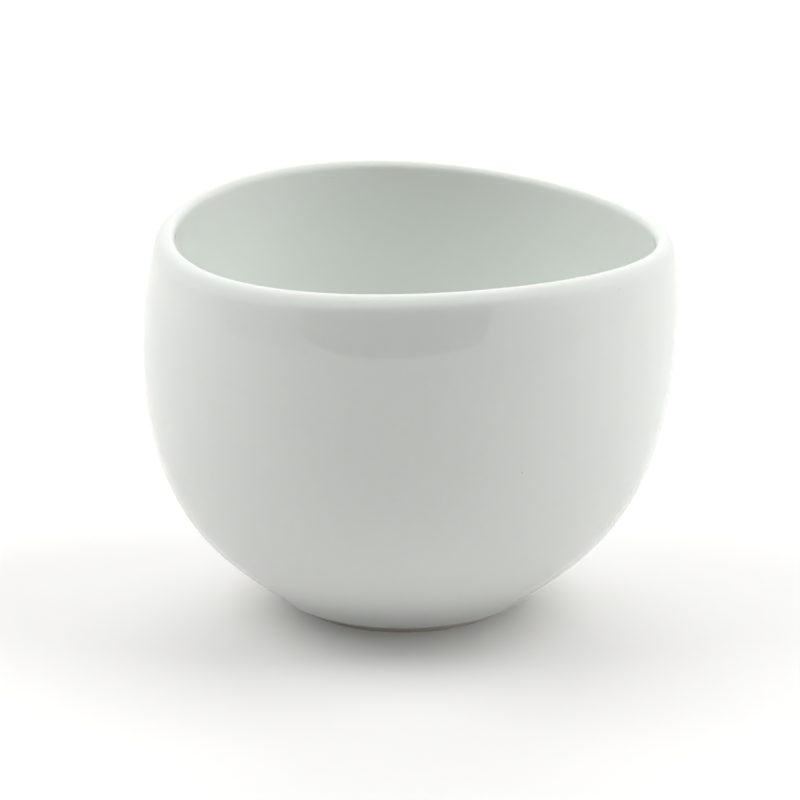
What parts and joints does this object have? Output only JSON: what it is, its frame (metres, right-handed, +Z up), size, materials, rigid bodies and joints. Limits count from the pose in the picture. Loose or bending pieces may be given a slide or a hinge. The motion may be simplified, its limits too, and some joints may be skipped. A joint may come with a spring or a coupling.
{
  "type": "shaving bowl",
  "caption": "Handle-less white glazed porcelain bowl for whipping up shaving lather, with a rounded lip, a deep rounded wall and a low foot ring.",
  "frame": {"origin": "middle of the bounding box in X and Y, on the surface that the bowl stands on", "axes": "+Z up; +X to the side that the rim leans towards; +Y away from the side that faces the viewer"},
  "size_m": [0.1094, 0.111, 0.0809],
  "materials": {
    "biscuit": "bare fired porcelain, matt and slightly warm, showing only on the edge of the foot ring",
    "glaze": "clear glossy glaze over white porcelain, with a faint cool green tint where it is thick"
  },
  "bodies": {
    "root": {"porcelain_body": "biscuit", "glaze_coat": "glaze", "underside_glaze": "glaze"}
  },
  "joints": []
}
